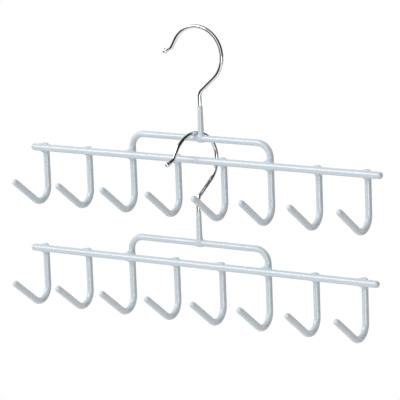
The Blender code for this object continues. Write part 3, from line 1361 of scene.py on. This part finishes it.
@dataclass
class Studio:
    """The camera, the soft lamps, the surroundings and the pale floor."""

    aim: Sizes = (13.852 * MM, -24.162 * MM, -137.343 * MM)  # the point that the camera looks at
    distance: float = 2119.973 * MM  # from the camera to that point
    azimuth: float = 33.440  # degrees, as the elevation and the roll
    elevation: float = 11.441
    roll: float = -2.137
    lens: float = 234.451  # millimetres, as the sensor's width
    sensor: float = 36.0
    floor_height: float = -0.75
    floor_radius: float = 0.8
    floor_glow: float = 0.85  # the share of the floor's whiteness that no shadow takes away

    LAMPS = (
        Softbox("key_softbox", -38.0, 36.0, 1.6, 0.9, 1.1, 8.6),
        Softbox("side_softbox", 43.0, -11.0, 1.6, 0.9, 0.4, 3.8),
    )
    # The unlit side, the bench and the grey ceiling
    DARK_ZONES = (Zone(92.0, 24.0, (0.50, 0.62)), Bench(), Zone(0.0, 90.0, (0.62, 0.78), 0.85))
    LOW_BACK = Zone(213.0, -45.0, (0.45, 0.65))  # dim, behind and under the hangers
    LIT_SIDE = Zone(-70.0, 25.0, (-1.0, 1.0))
    WHITE = (1.0, 1.0, 1.0, 1.0)
    DARK = (0.004, 0.004, 0.005, 1.0)
    DIM = (0.25, 0.25, 0.26, 1.0)
    SHADE = (0.29, 0.255, 0.23, 1.0)
    SOFT_LIGHT = (1.03, 1.06, 1.09, 1.0)
    MIRRORED_FLOOR = (0.82, 0.82, 0.82, 1.0)
    FLOOR_TONES = ((0.80, 0.80, 0.80, 1.0), (0.82, 0.82, 0.82, 1.0))
    FLOOR_CLOUDS = {"scale": 3.0, "detail": 4.0}
    FLOOR_ROUGHNESS = 0.9
    FLOOR_WHITENESS = 1.05
    FLOOR_SIDES = 96
    FLOOR_RINGS = 8

    def build_camera(self) -> None:
        """Build the camera at the photograph's angle."""
        back = toward(self.azimuth, self.elevation)
        right = toward(self.azimuth + 90.0, 0.0)
        data = bpy.data.cameras.new("studio_camera")
        data.lens = self.lens
        data.sensor_width = self.sensor
        camera = bpy.data.objects.new("studio_camera", data)
        turned = Matrix((right, back.cross(right), back)).transposed().to_4x4()
        leaning = Matrix.Rotation(math.radians(self.roll), 4, "Z")
        camera.matrix_world = Matrix.Translation(Vector(self.aim) + back * self.distance) @ turned @ leaning
        bpy.context.scene.collection.objects.link(camera)
        bpy.context.scene.camera = camera
        LOG.info("camera %.3f m from the hangers", self.distance)

    def build_lamps(self) -> None:
        """Build the soft lamps."""
        for lamp in self.LAMPS:
            data = bpy.data.lights.new(lamp.name, "AREA")
            data.shape = "RECTANGLE"
            data.size = lamp.width
            data.size_y = lamp.height
            data.energy = lamp.watts
            away = toward(lamp.azimuth, lamp.elevation)
            stand = bpy.data.objects.new(lamp.name, data)
            stand.location = Vector(self.aim) + away * lamp.distance
            stand.rotation_euler = away.to_track_quat("Z", "Y").to_euler()
            bpy.context.scene.collection.objects.link(stand)
            LOG.info("%s of %.1f W", lamp.name, lamp.watts)

    def seen(self, sheet: NodeSheet, path: Sockets) -> Socket:
        """Return whether a ray comes from the camera, a gloss or clear glass."""
        seen = sheet.math("MAXIMUM", path["Is Camera Ray"], path["Is Glossy Ray"])
        return sheet.math("MAXIMUM", seen, path["Is Transmission Ray"])

    def build_world(self) -> None:
        """Build the white surroundings, with the dark flags that bright plating shows."""
        world = bpy.data.worlds.new("studio_surroundings")
        bpy.context.scene.world = world
        world.use_nodes = True
        world.node_tree.nodes.clear()
        sheet = NodeSheet(world.node_tree)
        direction = sheet.add("ShaderNodeTexCoord").outputs["Generated"]
        mirrored = sheet.mix(self.LOW_BACK.mask(sheet, direction), self.WHITE, self.DIM)
        dark: Input = 0.0
        for zone in self.DARK_ZONES:
            dark = sheet.math("MAXIMUM", dark, zone.mask(sheet, direction))
        mirrored = sheet.mix(dark, mirrored, self.DARK)
        path = sheet.add("ShaderNodeLightPath").outputs
        shown = sheet.mix(path["Is Camera Ray"], mirrored, self.WHITE)
        soft = sheet.mix(self.LIT_SIDE.mask(sheet, direction), self.SHADE, self.SOFT_LIGHT)
        light = sheet.add("ShaderNodeBackground", {"Color": soft, "Strength": 1.0}).outputs[0]
        view = sheet.add("ShaderNodeBackground", {"Color": shown, "Strength": 1.0}).outputs[0]
        mixed = sheet.add("ShaderNodeMixShader", {0: self.seen(sheet, path), 1: light, 2: view})
        sheet.add("ShaderNodeOutputWorld", {"Surface": mixed.outputs[0]})

    def floor_material(self) -> bpy.types.Material:
        """Make the floor's material: white from the camera, and keeping the shadow.

        Returns:
            The material.
        """
        material = bpy.data.materials.new("pale_floor")
        material.use_nodes = True
        nodes = material.node_tree.nodes
        sheet = NodeSheet(material.node_tree)
        shader = nodes["Principled BSDF"]
        place = sheet.add("ShaderNodeTexCoord").outputs["Object"]
        tone = sheet.mix(sheet.noise(place, **self.FLOOR_CLOUDS), *self.FLOOR_TONES)
        sheet.feed(shader.inputs["Base Color"], tone)
        shader.inputs["Roughness"].default_value = self.FLOOR_ROUGHNESS
        path = sheet.add("ShaderNodeLightPath").outputs
        share = sheet.math("MULTIPLY", self.seen(sheet, path), self.floor_glow)
        tint = sheet.mix(path["Is Camera Ray"], self.MIRRORED_FLOOR, self.WHITE)
        glow = sheet.add("ShaderNodeEmission", {"Color": tint, "Strength": self.FLOOR_WHITENESS})
        mixed = sheet.add("ShaderNodeMixShader", {0: share, 1: shader.outputs[0], 2: glow.outputs[0]})
        sheet.feed(nodes["Material Output"].inputs["Surface"], mixed.outputs[0])
        return material

    def build_floor(self) -> None:
        """Build the round floor far under the hangers."""
        sides = self.FLOOR_SIDES
        rounds = np.pad(circle(sides), ((0, 0), (0, 1)))
        centre = np.array([[0.0, 0.0, self.floor_height]])
        radii = np.linspace(0.0, self.floor_radius, self.FLOOR_RINGS + 1)[1:]
        points = np.concatenate([centre] + [centre + radius * rounds for radius in radii])
        starts = 1 + sides * np.arange(self.FLOOR_RINGS)
        faces = [(0, 1 + side, 1 + (side + 1) % sides) for side in range(sides)]
        faces += join_rings(starts[1:], starts[:-1], sides)
        shell = Shell(points, faces, np.zeros(len(points)))
        shell.to_piece("studio_floor", self.floor_material())
        LOG.info("floor %.2f m under the rail", -self.floor_height)

    def build(self) -> None:
        """Build the whole studio."""
        bpy.context.scene.view_settings.view_transform = "Standard"
        self.build_camera()
        self.build_world()
        self.build_floor()
        self.build_lamps()


HOOK_TURNS = {Tier.UPPER: 0.0, Tier.LOWER: 76.0}  # degrees about the stem


def main() -> None:
    """Build the studio and both hangers."""
    logging.basicConfig(level=logging.INFO, format="%(name)s: %(message)s")
    Studio().build()
    for tier, turn in HOOK_TURNS.items():
        plan = Plan.read(tier)
        coated = CoatedFrame(plan)
        coated.build()
        Stem(plan, coated.bow_rise).build()
        WireHook(plan, turn).build()


if __name__ == "__main__":
    main()
